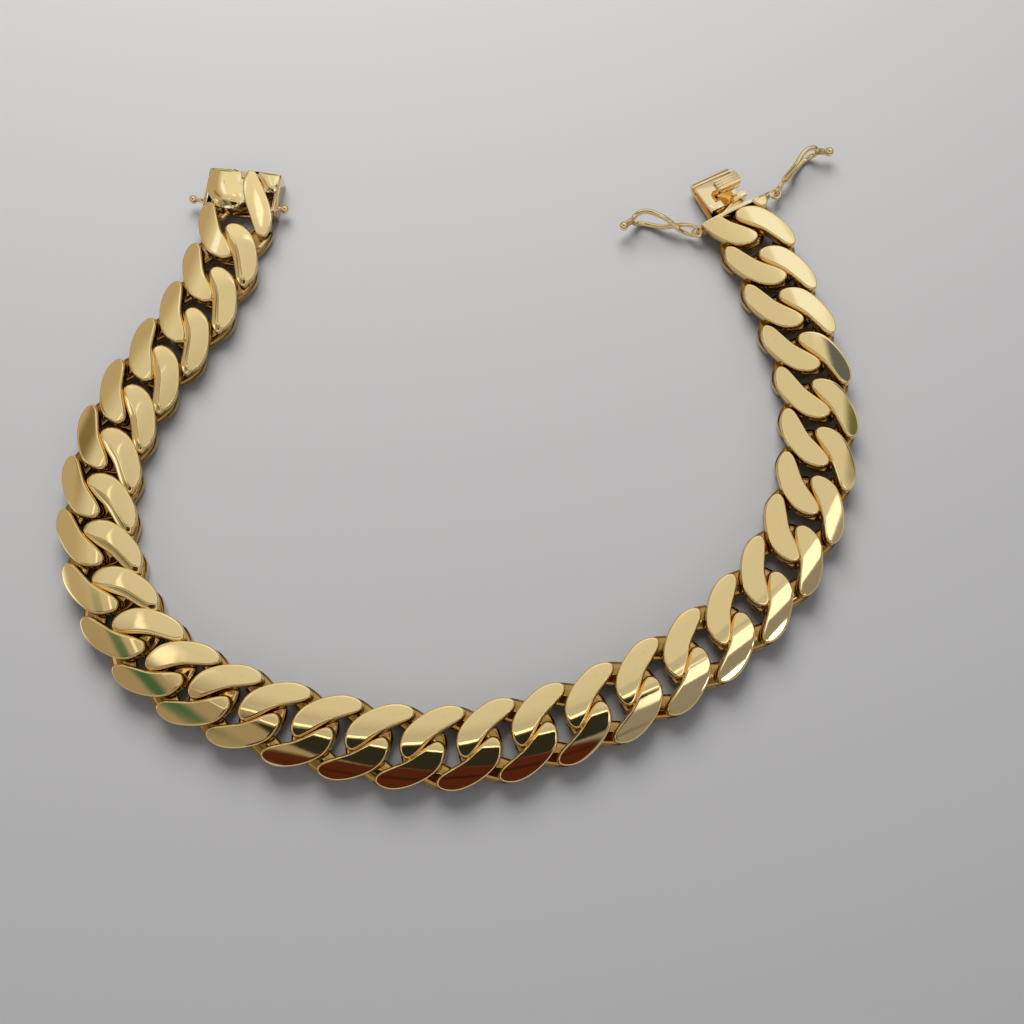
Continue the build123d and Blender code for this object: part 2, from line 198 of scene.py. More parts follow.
# %% The petal's rings
def petal_rings(tip, flank, chin_bend):
    """Rings of (x, y, z) from the face's spine to the middle of its back."""
    outline = closed_curve(np.array(PETAL_BODY + tip) * half_size, OUTLINE_STEPS)
    inward = inward_of(outline)
    hole_side, long_side = flank_shares(outline, inward)
    reach = (STEEP["reach"] * hole_side + (flank["reach"] - STEEP["reach"]) * long_side)[:, None]
    ridge = outline + inward * (flank["inset"] * long_side)[:, None]
    shoulder = ridge + inward * RIDGE
    middle = nearest_on(even_points(np.array(SPINE) * half_size, SPINE_STEPS), shoulder)
    rings = [(middle + (shoulder - middle) * step / FACE_STEPS, 0.0) for step in range(FACE_STEPS + 1)]
    for step in range(1, RIDGE_STEPS + 1):
        turn = RIDGE_TURN * step / RIDGE_STEPS
        rings.append((shoulder - inward * RIDGE * sin(turn), RIDGE * (1 - cos(turn))))
    ridge_depth = RIDGE * (1 - cos(RIDGE_TURN))
    for step in range(1, FLANK_STEPS + 1):
        turn = FLANK_START + (pi / 2 - FLANK_START) * (step / FLANK_STEPS) ** FLANK_CROWDING
        out = (sin(turn) - sin(FLANK_START)) / (1 - sin(FLANK_START))
        down = flank["depth"] * (cos(FLANK_START) - cos(turn)) / cos(FLANK_START)
        rings.append((ridge - inward * reach * out, down + ridge_depth))
    placed = [np.column_stack((place, petal_height(place, flank, chin_bend) - down)) for place, down in rings]
    foot = ridge - inward * reach
    for share in BACK_SHARES:
        rise = BACK_DROP * (1 - (1 - share ** BACK_ROUNDNESS) ** 0.5) - BACK_OVERLAP
        placed.append(np.column_stack((middle + (foot - middle) * share, np.full(len(foot), rise))))
    return placed


def petal_height(place, flank, chin_bend):
    """Height of a petal's face above the link's middle plane."""
    blunt = np.clip((-place[:, 0] - ROLL_START) / ROLL_LENGTH, 0, 1)
    ground = 0.5 * chin_bend * np.maximum(CHIN_START - place[:, 1], 0) ** 2
    domed = DOME * (place[:, 1] / (LINK_WIDTH / 2)) ** 2
    return THICKNESS / 2 - domed - flank["roll"] * blunt ** 2 - ground


print("rings of a petal:", len(petal_rings(TOP_TIP, STEEP, 0.0)))

# %% [markdown]
# ### A grid, closed to a petal
# A grid primitive is laid over the rings: its columns run round the outline, and its rows
# from the spine to the back. Merging the doubles closes the seam between the first and the
# last column and both spines, and then all faces are turned outwards.

# %% Tools of the edit mode
MERGE_DISTANCE = 0.002 * MM


def select_only(*pieces):
    """Leave edit mode, and select these objects alone. The first becomes the active one."""
    if bpy.context.object and bpy.context.object.mode != "OBJECT":
        bpy.ops.object.mode_set(mode="OBJECT")
    bpy.ops.object.select_all(action="DESELECT")
    for piece in pieces:
        piece.select_set(True)
    if pieces:
        bpy.context.view_layer.objects.active = pieces[0]


def edit_all_of(piece):
    """Go into edit mode with the whole mesh selected."""
    select_only(piece)
    bpy.ops.object.mode_set(mode="EDIT")
    bpy.ops.mesh.select_all(action="SELECT")


# %% Draw a grid through rings
def draw_rings(name, rings, turned, other_rings=None):
    """A closed mesh through rings of points. Other rings are kept with it as an attribute."""
    select_only()
    bpy.ops.mesh.primitive_grid_add(x_subdivisions=OUTLINE_STEPS, y_subdivisions=len(rings) - 1, size=2)
    piece = bpy.context.object
    piece.name = name
    columns = OUTLINE_STEPS + 1
    if other_rings:
        gentle = piece.data.attributes.new("gentle", "FLOAT_VECTOR", "POINT")
    for vertex in piece.data.vertices:
        ring, column = divmod(vertex.index, columns)
        vertex.co = turned @ Vector(rings[ring][column % OUTLINE_STEPS])
        if other_rings:
            gentle.data[vertex.index].vector = turned @ Vector(other_rings[ring][column % OUTLINE_STEPS])
    edit_all_of(piece)
    bpy.ops.mesh.remove_doubles(threshold=MERGE_DISTANCE)
    bpy.ops.mesh.normals_make_consistent(inside=False)
    bpy.ops.object.mode_set(mode="OBJECT")
    bpy.ops.object.shade_smooth()
    return piece


# %% Four petals
def make_petal(name, tip, turn, under):
    """A closed petal mesh in its link's frame. One of the underside is turned over."""
    is_inner = turn == 0 and not under
    is_outer = turn == 180 and not under
    chin_bend = CHIN_BEND if is_outer else 0.0
    steep_rings = petal_rings(tip, STEEP, chin_bend)
    gentle_rings = petal_rings(tip, GENTLE, chin_bend) if is_inner else steep_rings
    turned = Matrix.Rotation(radians(turn), 4, "Z") @ Matrix.Rotation(pi if under else 0, 4, "X")
    return draw_rings(name, steep_rings, turned, gentle_rings)


petals = []
for turn in (0, 180):
    petals.append(make_petal("top_petal", TOP_TIP, turn, False))
    petals.append(make_petal("under_petal", UNDER_TIP, turn, True))
print("petal:", len(petals[0].data.vertices), "vertices,", len(petals[0].data.polygons), "faces")


# %% Join four petals to a link
def linked_copy(name, mesh):
    """An object in the scene with its own copy of a mesh."""
    copy = bpy.data.objects.new(name, mesh.copy())
    bpy.context.collection.objects.link(copy)
    return copy


def joined(name, pieces):
    """One object from copies of several, in the frame of the first."""
    select_only(*[linked_copy(name, piece.data) for piece in pieces])
    bpy.ops.object.join()
    return bpy.context.object


pattern = joined("link_pattern", petals)
print("link pattern:", tuple(round(v / MM, 2) for v in pattern.dimensions), "mm")

# %% [markdown]
# ## Thirty links from one
# The CAD node of a link tells where it lies: the middle of its surface is the ring's
# centre, and the long axis of its upper side gives the turn. The pattern is copied there,
# each copy with its own mesh, because each link has its own share of the gentle flank.

# %% Where a link lies
UPPER_SIDE = 1.0 * MM


def surface_lean(mesh):
    """Centre, and the angle of the upper side's long axis, weighed by area."""
    mesh.calc_loop_triangles()
    corners = np.empty(len(mesh.loop_triangles) * 3, dtype=np.int32)
    mesh.loop_triangles.foreach_get("vertices", corners)
    places = np.empty(len(mesh.vertices) * 3, dtype=np.float64)
    mesh.vertices.foreach_get("co", places)
    tri = places.reshape(-1, 3)[corners.reshape(-1, 3)]
    area = np.linalg.norm(np.cross(tri[:, 1] - tri[:, 0], tri[:, 2] - tri[:, 0]), axis=1)
    middle = tri.mean(axis=1)
    centre = (middle * area[:, None]).sum(axis=0) / area.sum()
    area = area * (middle[:, 2] > centre[2] + UPPER_SIDE)
    away = middle - centre
    xx = (area * (away[:, 0] ** 2 - away[:, 1] ** 2)).sum()
    xy = (area * 2 * away[:, 0] * away[:, 1]).sum()
    return centre, 0.5 * atan2(xy, xx)


link_names = sorted(n for n in nodes if n.startswith("link_"))
stands = [surface_lean(nodes[name].data) for name in link_names]
# A link lies along the line between its neighbours, on the average over the chain.
turns = []
for before, here, after in zip(stands, stands[1:], stands[2:]):
    heading = atan2(after[0][1] - before[0][1], after[0][0] - before[0][0])
    turns.append((here[1] - heading + pi / 2) % pi - pi / 2)
LINK_LEAN = float(np.mean(turns))
print("long axis of a link lies", round(degrees(LINK_LEAN), 2), "degrees from the chain's direction")


def heading_of(number):
    """Direction of a link along the chain, from the box to the tongue."""
    before = stands[max(number - 1, 0)][0]
    after = stands[min(number + 1, len(stands) - 1)][0]
    rough = atan2(after[1] - before[1], after[0] - before[0])
    exact = stands[number][1] - LINK_LEAN
    return exact + pi * round((rough - exact) / pi)


# %% [markdown]
# In the bracelet's left bend, where the chain heads towards the viewer, the links are pulled
# round, so that the gentle side of their inner petals comes up. Away from that heading it
# sinks again, and in the straight run it is hidden.

# %% Copy the pattern to each link
# In degrees, the heading in the middle of the bend, and how far from it the gentle side still
# shows. Within the share BEND_FULL of that reach it shows in full.
BEND_HEADING = -92
BEND_REACH = 62
BEND_FULL = 0.45


def place_link(name, centre, heading, gentle):
    """A copy of the pattern at a place on the chain, with a share of its gentle flank."""
    copy = linked_copy("chain_" + name, pattern.data)
    steep_places = np.empty(len(copy.data.vertices) * 3, dtype=np.float32)
    gentle_places = np.empty_like(steep_places)
    copy.data.vertices.foreach_get("co", steep_places)
    copy.data.attributes["gentle"].data.foreach_get("vector", gentle_places)
    copy.data.vertices.foreach_set("co", steep_places + (gentle_places - steep_places) * gentle)
    copy.data.attributes.remove(copy.data.attributes["gentle"])
    stand = Matrix.Translation((centre[0], centre[1], MIDDLE_PLANE))
    copy.data.transform(stand @ Matrix.Rotation(heading, 4, "Z"))
    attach(copy, "chain")
    return copy


chain_pieces = []
for number, name in enumerate(link_names):
    heading = heading_of(number)
    off_bend = abs(degrees(heading) - BEND_HEADING)
    gentle = float(1 - smooth_step(off_bend, BEND_REACH * BEND_FULL, BEND_REACH))
    link = place_link(name, stands[number][0], heading, gentle)
    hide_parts(name)
    chain_pieces.append(link)
    print(name, "heading", round(degrees(heading), 1), "gentle flank", round(gentle, 2))

# %% [markdown]
# ## The clasp's worked edges
# The tongue is sawn and filed from sheet, so its parts are flat with small bright bevels.
# Copies of the CAD nodes keep their sizes. On the sheet parts, flat triangles are dissolved
# and a bevel modifier breaks the sharp edges. The box and the two wire catches are rounded
# already, so their copies are only shaded smooth. Modelling them anew would only repeat them.

# %% Copies of the clasp pieces
EDGE_BREAK = 0.07 * MM
EDGE_STEPS = 2
COPY_MERGE = 0.001 * MM
FLAT_ANGLE = radians(0.5)
SHARP_ANGLE = radians(40)
SMOOTH_ANGLE = radians(35)


def worked_copy(name, body, is_sheet):
    """A merged copy of a CAD node. On a sheet part, the sharp edges are broken by a bevel."""
    copy = linked_copy("gold_" + name, nodes[name].data)
    edit_all_of(copy)
    bpy.ops.mesh.remove_doubles(threshold=COPY_MERGE)
    if is_sheet:
        bpy.ops.mesh.dissolve_limited(angle_limit=FLAT_ANGLE)
    bpy.ops.object.mode_set(mode="OBJECT")
    if is_sheet:
        bevel = copy.modifiers.new("edge_break", "BEVEL")
        bevel.width = EDGE_BREAK
        bevel.segments = EDGE_STEPS
        bevel.limit_method = "ANGLE"
        bevel.angle_limit = SHARP_ANGLE
        bpy.ops.object.modifier_apply(modifier=bevel.name)
    bpy.ops.object.shade_smooth_by_angle(angle=SMOOTH_ANGLE)
    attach(copy, body)
    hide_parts(name)
    print(copy.name, len(copy.data.polygons), "faces")
    return copy


box_copy = worked_copy("clasp_box", "chain", False)
base_copy = worked_copy("tongue_base", "chain", True)
leaf_copy = worked_copy("tongue_leaf", "spring_leaf", True)
catch_copies = [worked_copy("safety_catch_left", "catch_left", False),
                worked_copy("safety_catch_right", "catch_right", False)]

# %% [markdown]
# ## The two end links
# The first link is soldered into the clasp box and the last one to the tongue. They are
# made from the same petals as the others, and a bisect cuts off what would pass into the
# clasp. A boolean would do as well, but a flat cut needs no second mesh. Each clasp piece has
# its own frame, with x along the chain. The inner petal on top of the first link isn't made
# here, because it belongs to the lid of the box.

# %% Frames of the clasp pieces
BOX_PLACE = (-31.588 * MM, 32.077 * MM)
BOX_HEADING = radians(-96.8)
TONGUE_PLACE = (36.762 * MM, 34.037 * MM)
TONGUE_HEADING = radians(117.4)


def frame_at(place, heading):
    """Frame of a clasp piece that stands on the table."""
    return Matrix.Translation((*place, 0)) @ Matrix.Rotation(heading, 4, "Z")


box_frame = frame_at(BOX_PLACE, BOX_HEADING)
tongue_frame = frame_at(TONGUE_PLACE, TONGUE_HEADING)
print("from box to tongue:", round((box_frame.translation - tongue_frame.translation).length / MM, 1), "mm")

# %% Petals of the end links
BOX_LINK_TURN = radians(-5.7)
BOX_BACK = -1.9 * MM
TONGUE_LINK_TURN = radians(-1.6)
BAR_MIDDLE = -0.51 * MM


def end_link(name, pieces, turn):
    """Petals of an end link, joined and turned in the clasp piece's frame."""
    piece = joined(name, pieces)
    piece.data.attributes.remove(piece.data.attributes["gentle"])
    piece.data.transform(Matrix.Translation((0, 0, MIDDLE_PLANE)) @ Matrix.Rotation(turn, 4, "Z"))
    return piece


def cut_off(piece, x, side):
    """Cut a closed mesh at an x, drop what lies beyond it on that side, and close the cut."""
    edit_all_of(piece)
    bpy.ops.mesh.bisect(plane_co=(x, 0, 0), plane_no=(side, 0, 0), use_fill=True, clear_outer=True)
    bpy.ops.object.mode_set(mode="OBJECT")
    print(piece.name, len(piece.data.polygons), "faces")


inner_under, outer_top, outer_under = petals[1:]
box_top = end_link("box_link_top", [outer_top], BOX_LINK_TURN)
box_under = end_link("box_link_under", [inner_under, outer_under], BOX_LINK_TURN)
cut_off(box_under, BOX_BACK, -1)
tongue_link = end_link("tongue_link", petals, TONGUE_LINK_TURN)
cut_off(tongue_link, BAR_MIDDLE, 1)

# %% [markdown]
# The CAD copies have these rings and the lid as well. Their ring is shrunk about its centre
# and their lid is sunk, so that both vanish under the new surfaces, and the solder joints
# behind stay closed.

# %% Tuck the CAD copies in
# What is left of a tucked ring's length, width and height.
TUCK = (0.955, 0.955, 0.84)
BOX_LID_END = -1.45 * MM
LID_COPY_TOP = 2.9 * MM
LID_SINK = 0.3 * MM
RING_END = -0.9 * MM
# The two eyes that the catches hang in, in the tongue's frame.
EYES = (Vector((-0.62, 5.62)) * MM, Vector((-0.5, -7.0)) * MM)
EYE_REACH = 1.0 * MM


def tucked(local):
    """A point of a ring, drawn towards the ring's centre."""
    centre = Vector((0, 0, MIDDLE_PLANE))
    return centre + Vector([a * b for a, b in zip(local - centre, TUCK)])


def tucked_box(local):
    """A point of the box: its ring is tucked in, and its lid sunk."""
    if local.x > BOX_LID_END:
        return tucked(local)
    if local.z > LID_COPY_TOP:
        local.z -= LID_SINK
    return local


def tucked_tongue(local):
    """A point of the tongue: its ring is tucked in, and the eyes for the catches stay."""
    is_eye = any((local.xy - eye).length <= EYE_REACH for eye in EYES)
    return tucked(local) if local.x < RING_END and not is_eye else local


tucks = ((box_copy, box_frame, tucked_box), (base_copy, tongue_frame, tucked_tongue))
for copy, frame_place, moved in tucks:
    into_frame = frame_place.inverted()
    for vertex in copy.data.vertices:
        vertex.co = frame_place @ moved(into_frame @ vertex.co)
    print("tucked in:", copy.name)

# %% [markdown]
# ## The wire of the catches
# The catches of the CAD model are thin, so that they can be threaded through their eyes.
# The real wire is thicker. The copies are blown up along their normals, and the blend keeps
# the loop inside the eye as it was, so that nothing touches there.

# %% Thicker wire
WIRE_GROWTH = 0.09 * MM
WIRE_BLEND = (1.6 * MM, 3.2 * MM)
TABLE_GAP = 0.02 * MM
for copy, eye in zip(catch_copies, EYES):
    eye_place = (tongue_frame @ eye.to_3d()).xy
    normals = [vertex.normal.copy() for vertex in copy.data.vertices]
    for vertex, normal in zip(copy.data.vertices, normals):
        away = (vertex.co.xy - eye_place).length
        vertex.co += normal * WIRE_GROWTH * float(smooth_step(away, *WIRE_BLEND))
        vertex.co.z = max(vertex.co.z, TABLE_GAP)
    print(copy.name, "size:", tuple(round(v / MM, 2) for v in copy.dimensions), "mm")

# %% [markdown]
# ## The lid of the box
# The lid shows three pillowed forms: a broad left panel, a small right one, and between
# them the first link's inner petal, which runs on as far as the box's mouth. They are drawn
# as the petals are, because a lid cut from one block looks too flat in polished gold. Their
# outlines are in the box's frame, in millimetres.

# %% Outlines of the panels
LEFT_PANEL = {
    "outline": ((-7.50, -4.55), (-7.52, -2.6), (-7.52, -1.0), (-7.20, -0.45), (-5.6, -0.05), (-4.2, 0.45),
                (-3.0, 0.55), (-2.2, 0.25), (-1.75, -0.6), (-1.72, -1.7), (-2.0, -2.8), (-2.65, -3.75),
                (-3.6, -4.5), (-5.2, -4.88), (-6.8, -4.88), (-7.35, -4.80)),
    "spine": ((-6.6, -2.6), (-5.2, -2.4), (-3.6, -1.7)), "dome": 0.15 * MM, "pillow": 0.34 * MM}
RIGHT_PANEL = {
    "outline": ((-7.50, 1.50), (-7.52, 2.6), (-7.50, 4.6), (-7.30, 4.95), (-6.3, 5.02), (-5.3, 4.98),
                (-4.78, 4.70), (-4.72, 4.2), (-5.15, 3.45), (-6.0, 2.75), (-6.75, 2.05), (-7.25, 1.45)),
    "spine": ((-6.9, 3.6), (-6.2, 3.9), (-5.8, 4.1)), "dome": 0.30 * MM, "pillow": 0.16 * MM}
LINK_PANEL = {
    "outline": ((-7.52, 1.05), (-7.50, 0.62), (-7.0, 0.38), (-6.1, 0.17), (-5.0, 0.22), (-4.0, 0.48),
                (-3.0, 0.85), (-2.0, 1.30), (-1.0, 1.82), (0.0, 2.30), (0.95, 2.80), (1.70, 3.30),
                (2.05, 3.90), (1.85, 4.45), (1.10, 4.82), (-0.2, 5.00), (-1.5, 4.78), (-2.7, 4.35),
                (-3.8, 3.82), (-4.8, 3.25), (-5.7, 2.70), (-6.5, 2.20), (-7.1, 1.80), (-7.45, 1.45)),
    "spine": ((-6.6, 1.0), (-5.0, 1.6), (-3.2, 2.5), (-1.4, 3.3), (0.6, 3.75)),
    "dome": 0.5 * MM, "pillow": 0.05 * MM}

# %% The panels' rings
# The lid's highest line, where it lies across the box, and half the lid's width.
ROOF = 3.53 * MM
ROOF_MIDDLE = 0.07 * MM
ROOF_HALF = 5.02 * MM
PILLOW_STEPS = 9
PILLOW_ROUNDNESS = 2.4
LID_FOOT = 2.68 * MM


def panel_rings(panel):
    """Rings of a pillowed panel with a rounded edge, from its spine to its foot."""
    outline = closed_curve(np.array(panel["outline"]) * MM, OUTLINE_STEPS)
    inward = inward_of(outline)
    shoulder = outline + inward * RIDGE
    middle = nearest_on(even_points(np.array(panel["spine"]) * MM, SPINE_STEPS), shoulder)
    rings = []
    for step in range(PILLOW_STEPS + 1):
        share = step / PILLOW_STEPS
        rings.append((middle + (shoulder - middle) * share, panel["pillow"] * share ** PILLOW_ROUNDNESS))
    for step in range(1, RIDGE_STEPS + 1):
        turn = pi / 2 * step / RIDGE_STEPS
        rings.append((shoulder - inward * RIDGE * sin(turn), panel["pillow"] + RIDGE * (1 - cos(turn))))
    placed = []
    for place, down in rings:
        height = ROOF - panel["dome"] * ((place[:, 1] - ROOF_MIDDLE) / ROOF_HALF) ** 2 - down
        placed.append(np.column_stack((place, height)))
    # Over the box a panel ends inside the lid, and beyond it in the link's middle plane.
    for place in (outline, middle):
        foot = np.where(place[:, 0] > BOX_BACK, MIDDLE_PLANE, LID_FOOT)
        placed.append(np.column_stack((place, foot)))
    return placed


left_panel = draw_rings("box_panel_left", panel_rings(LEFT_PANEL), Matrix.Identity(4))
right_panel = draw_rings("box_panel_right", panel_rings(RIGHT_PANEL), Matrix.Identity(4))
link_panel = draw_rings("box_panel_link", panel_rings(LINK_PANEL), Matrix.Identity(4))
for panel in (left_panel, right_panel, link_panel):
    print(panel.name, tuple(round(v / MM, 2) for v in panel.dimensions), "mm")

# %% [markdown]
# The lid is pierced by a small square hole on each side of the thumb notch. A boolean cuts
# them, because the panel's own rings don't follow a square.

# %% Square holes beside the notch
HOLE_SIZE = 0.6 * MM
CUTTER_HEIGHT = 3 * MM
HOLE_EDGE_ANGLE = radians(50)
LEFT_HOLE = (-7.20 * MM, -2.05 * MM, ROOF)
RIGHT_HOLE = (-7.15 * MM, 1.80 * MM, ROOF)
for panel, hole_place in ((left_panel, LEFT_HOLE), (right_panel, RIGHT_HOLE)):
    select_only()
    bpy.ops.mesh.primitive_cube_add(size=1, location=hole_place)
    cutter = bpy.context.object
    cutter.scale = (HOLE_SIZE, HOLE_SIZE, CUTTER_HEIGHT)
    cut = panel.modifiers.new("hole", "BOOLEAN")
    cut.operation = "DIFFERENCE"
    cut.object = cutter
    select_only(panel)
    bpy.ops.object.modifier_apply(modifier=cut.name)
    bpy.ops.object.shade_smooth_by_angle(angle=HOLE_EDGE_ANGLE)
    bpy.data.objects.remove(cutter)
    print("hole in", panel.name, "leaves", len(panel.data.polygons), "faces")

# %% Move the end pieces to their places
for piece in (box_top, box_under, left_panel, right_panel, link_panel, tongue_link):
    piece.data.transform(tongue_frame if piece is tongue_link else box_frame)
    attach(piece, "chain")
    chain_pieces.append(piece)
    print(piece.name, len(piece.data.polygons), "faces")
for piece in petals + [pattern]:
    bpy.data.objects.remove(piece)

# %% [markdown]
# ## Gold that has been worn
# Polished gold takes its whole look from what it mirrors. A perfectly even mirror looks
# drawn, so a group adds what a wheel and a sleeve leave behind: a faint waviness of the
# surface, and a haze of hairlines that varies from place to place. It works in Object
# coordinates, so the wear stays on each piece when it moves.

# %% Tools for node trees
# A Mix node has sockets for each kind of value. These are the numbers of its colours.
MIX_A = 6
MIX_B = 7
MIX_RESULT = 2


def new_group(name, sockets_in, sockets_out):
    """An empty node group with its named sockets, and its input and output nodes."""
    group = bpy.data.node_groups.new(name, "ShaderNodeTree")
    for label, kind in sockets_in.items():
        group.interface.new_socket(label, in_out="INPUT", socket_type="NodeSocket" + kind)
    for label, kind in sockets_out.items():
        group.interface.new_socket(label, in_out="OUTPUT", socket_type="NodeSocket" + kind)
    return group, group.nodes.new("NodeGroupInput"), group.nodes.new("NodeGroupOutput")


def add_node(tree, kind, inputs, **settings):
    """A shader node with its settings. Each input is a value, or the socket that feeds it."""
    node = tree.nodes.new("ShaderNode" + kind)
    for setting, value in settings.items():
        setattr(node, setting, value)
    for socket, value in inputs.items():
        if isinstance(value, bpy.types.NodeSocket):
            tree.links.new(value, node.inputs[socket])
        else:
            node.inputs[socket].default_value = value
    return node


# %% Group of wear
# The hairlines are ten times finer across than along.
HAIRLINE_SCALE = (30000, 3000, 3000)
HAIRLINE_TURN = radians(35)
PATCH_SCALE = 260
wear, wear_in, wear_out = new_group(
    "wear",
    {"Shine": "Float", "Haze": "Float", "Wave Size": "Float"},
    {"Roughness": "Float", "Height": "Float"})
spot = add_node(wear, "TexCoord", {}).outputs["Object"]
waves = add_node(wear, "TexNoise", {"Detail": 1.0, "Vector": spot, "Scale": wear_in.outputs["Wave Size"]})
stretch = add_node(wear, "Mapping",
                   {"Vector": spot, "Scale": HAIRLINE_SCALE, "Rotation": (0, 0, HAIRLINE_TURN)})
hairlines = add_node(wear, "TexNoise", {"Scale": 1.0, "Detail": 3.0, "Vector": stretch.outputs["Vector"]})
patches = add_node(wear, "TexNoise", {"Scale": PATCH_SCALE, "Vector": spot})
both = add_node(wear, "Math", {0: hairlines.outputs["Fac"], 1: patches.outputs["Fac"]}, operation="MULTIPLY")
haze = add_node(wear, "Math",
                {0: both.outputs["Value"], 1: wear_in.outputs["Haze"], 2: wear_in.outputs["Shine"]},
                operation="MULTIPLY_ADD")
wear.links.new(haze.outputs["Value"], wear_out.inputs["Roughness"])
wear.links.new(waves.outputs["Fac"], wear_out.inputs["Height"])
print("wear:", len(wear.nodes), "nodes")

# %% [markdown]
# Between its two layers the chain lies in shade, and a brown painted shade stands for it.
# It could be painted into each link, but it depends on one thing alone, how near a spot
# lies to the chain's middle plane. So a second group works it out from the height.

# %% Group of the painted shade in the recess
# Up to the first distance from the middle plane all is painted shade, and past the second all is gold.
RECESS_SHADE_REACH = (0.35 * MM, 1.25 * MM)
recess_shade, shade_in, shade_out = new_group("recess_shade", {"Gold": "Color", "Painted Shade": "Color"}, {"Colour": "Color"})
spot = add_node(recess_shade, "TexCoord", {}).outputs["Object"]
spot_axes = add_node(recess_shade, "SeparateXYZ", {0: spot})
from_middle = add_node(recess_shade, "Math", {0: spot_axes.outputs["Z"], 1: MIDDLE_PLANE}, operation="SUBTRACT")
distance = add_node(recess_shade, "Math", {0: from_middle.outputs["Value"]}, operation="ABSOLUTE")
unshaded_share = add_node(recess_shade, "MapRange",
                       {"Value": distance.outputs["Value"], "From Min": RECESS_SHADE_REACH[0],
                        "From Max": RECESS_SHADE_REACH[1]}, interpolation_type="SMOOTHSTEP")
shade_mix = add_node(recess_shade, "Mix",
                    {"Factor": unshaded_share.outputs["Result"], MIX_A: shade_in.outputs["Painted Shade"],
                     MIX_B: shade_in.outputs["Gold"]}, data_type="RGBA")
recess_shade.links.new(shade_mix.outputs[MIX_RESULT], shade_out.inputs["Colour"])
print("recess:", len(recess_shade.nodes), "nodes")

# %% Golds
# The brown of the painted shade between the chain's two layers. Only the chain gold has it.
PAINTED_SHADE = (0.44, 0.26, 0.075, 1)
CHAIN_GOLD = {"colour": (0.95, 0.72, 0.325, 1), "shine": 0.02, "haze": 0.06,
              "wave size": 420, "wave height": 0.006 * MM, "has painted shade": True}
CLASP_GOLD = {"colour": (0.94, 0.735, 0.39, 1), "shine": 0.04, "haze": 0.10,
              "wave size": 700, "wave height": 0.004 * MM, "has painted shade": False}


def gold_material(name, look):
    """Polished yellow gold with its own wear, and with painted shade in its recesses if it has one."""
    material = bpy.data.materials.new(name)
    material.use_nodes = True
    tree = material.node_tree
    shader = tree.nodes["Principled BSDF"]
    shader.inputs["Base Color"].default_value = look["colour"]
    shader.inputs["Metallic"].default_value = 1.0
    # The group paints brown shade into the gold near the chain's middle plane.
    if look["has painted shade"]:
        shade_group = add_node(tree, "Group", {"Gold": look["colour"], "Painted Shade": PAINTED_SHADE}, node_tree=recess_shade)
        tree.links.new(shade_group.outputs["Colour"], shader.inputs["Base Color"])
    worn = add_node(tree, "Group",
                    {"Shine": look["shine"], "Haze": look["haze"], "Wave Size": look["wave size"]},
                    node_tree=wear)
    bump = add_node(tree, "Bump",
                    {"Strength": 1.0, "Distance": look["wave height"], "Height": worn.outputs["Height"]})
    tree.links.new(bump.outputs["Normal"], shader.inputs["Normal"])
    tree.links.new(worn.outputs["Roughness"], shader.inputs["Roughness"])
    return material


chain_gold = gold_material("chain_gold", CHAIN_GOLD)
clasp_gold = gold_material("clasp_gold", CLASP_GOLD)
clasp_pieces = [box_copy, base_copy, leaf_copy, *catch_copies]
for pieces, material in ((chain_pieces, chain_gold), (clasp_pieces, clasp_gold)):
    for piece in pieces:
        piece.data.materials.clear()
        piece.data.materials.append(material)
    print(material.name, "on", len(pieces), "pieces")

# %% [markdown]
# ## The table
# The bracelet lies on a pale matt sheet. A plain plane does, since the sheet shows no fold.

# %% Table
TABLE_SIZE = 2.0
PAPER = {"Base Color": (0.312, 0.307, 0.301, 1), "Roughness": 0.9, "Specular IOR Level": 0.2}
select_only()
bpy.ops.mesh.primitive_plane_add(size=TABLE_SIZE, location=(0, 0, 0))
table = bpy.context.object
table.name = "table"
paper = bpy.data.materials.new("pale_table")
paper.use_nodes = True
for socket, value in PAPER.items():
    paper.node_tree.nodes["Principled BSDF"].inputs[socket].default_value = value
table.data.materials.append(paper)
print("table:", TABLE_SIZE, "m wide")

# %% [markdown]
# ## The studio
# A mirror shows its room, so the world is built as a studio of cards: soft-edged rectangles
# of light, shade and colour on a far ceiling, each with its place, size and turn. Lamps and
# objects could stand for them, but a card costs no render time and throws no noise. A group
# draws one card over what lies behind it. Its corners are round, as a superellipse's are.

# %% Group of one studio card
CORNER_POWER = 4
card, card_in, card_out = new_group(
    "studio_card",
    {"Behind": "Color", "Direction": "Vector", "Centre": "Vector", "Size": "Vector", "Turn": "Vector",
     "Softness": "Float", "Colour": "Color"}, {"Colour": "Color"})
own = add_node(card, "Mapping",
               {"Vector": card_in.outputs["Direction"], "Location": card_in.outputs["Centre"],
                "Scale": card_in.outputs["Size"], "Rotation": card_in.outputs["Turn"]}, vector_type="TEXTURE")
parts = add_node(card, "SeparateXYZ", {0: own.outputs["Vector"]})
powers = []
for axis in ("X", "Y"):
    size = add_node(card, "Math", {0: parts.outputs[axis]}, operation="ABSOLUTE")
    power = add_node(card, "Math", {0: size.outputs["Value"], 1: CORNER_POWER}, operation="POWER")
    powers.append(power.outputs["Value"])
total = add_node(card, "Math", {0: powers[0], 1: powers[1]}, operation="ADD")
root = add_node(card, "Math", {0: total.outputs["Value"], 1: 1 / CORNER_POWER}, operation="POWER")
inner = add_node(card, "Math", {0: 1.0, 1: card_in.outputs["Softness"]}, operation="SUBTRACT")
outer = add_node(card, "Math", {0: 1.0, 1: card_in.outputs["Softness"]}, operation="ADD")
edge = add_node(card, "MapRange",
                {"Value": root.outputs["Value"], "From Min": inner.outputs["Value"],
                 "From Max": outer.outputs["Value"], "To Min": 1.0, "To Max": 0.0},
                interpolation_type="SMOOTHSTEP")
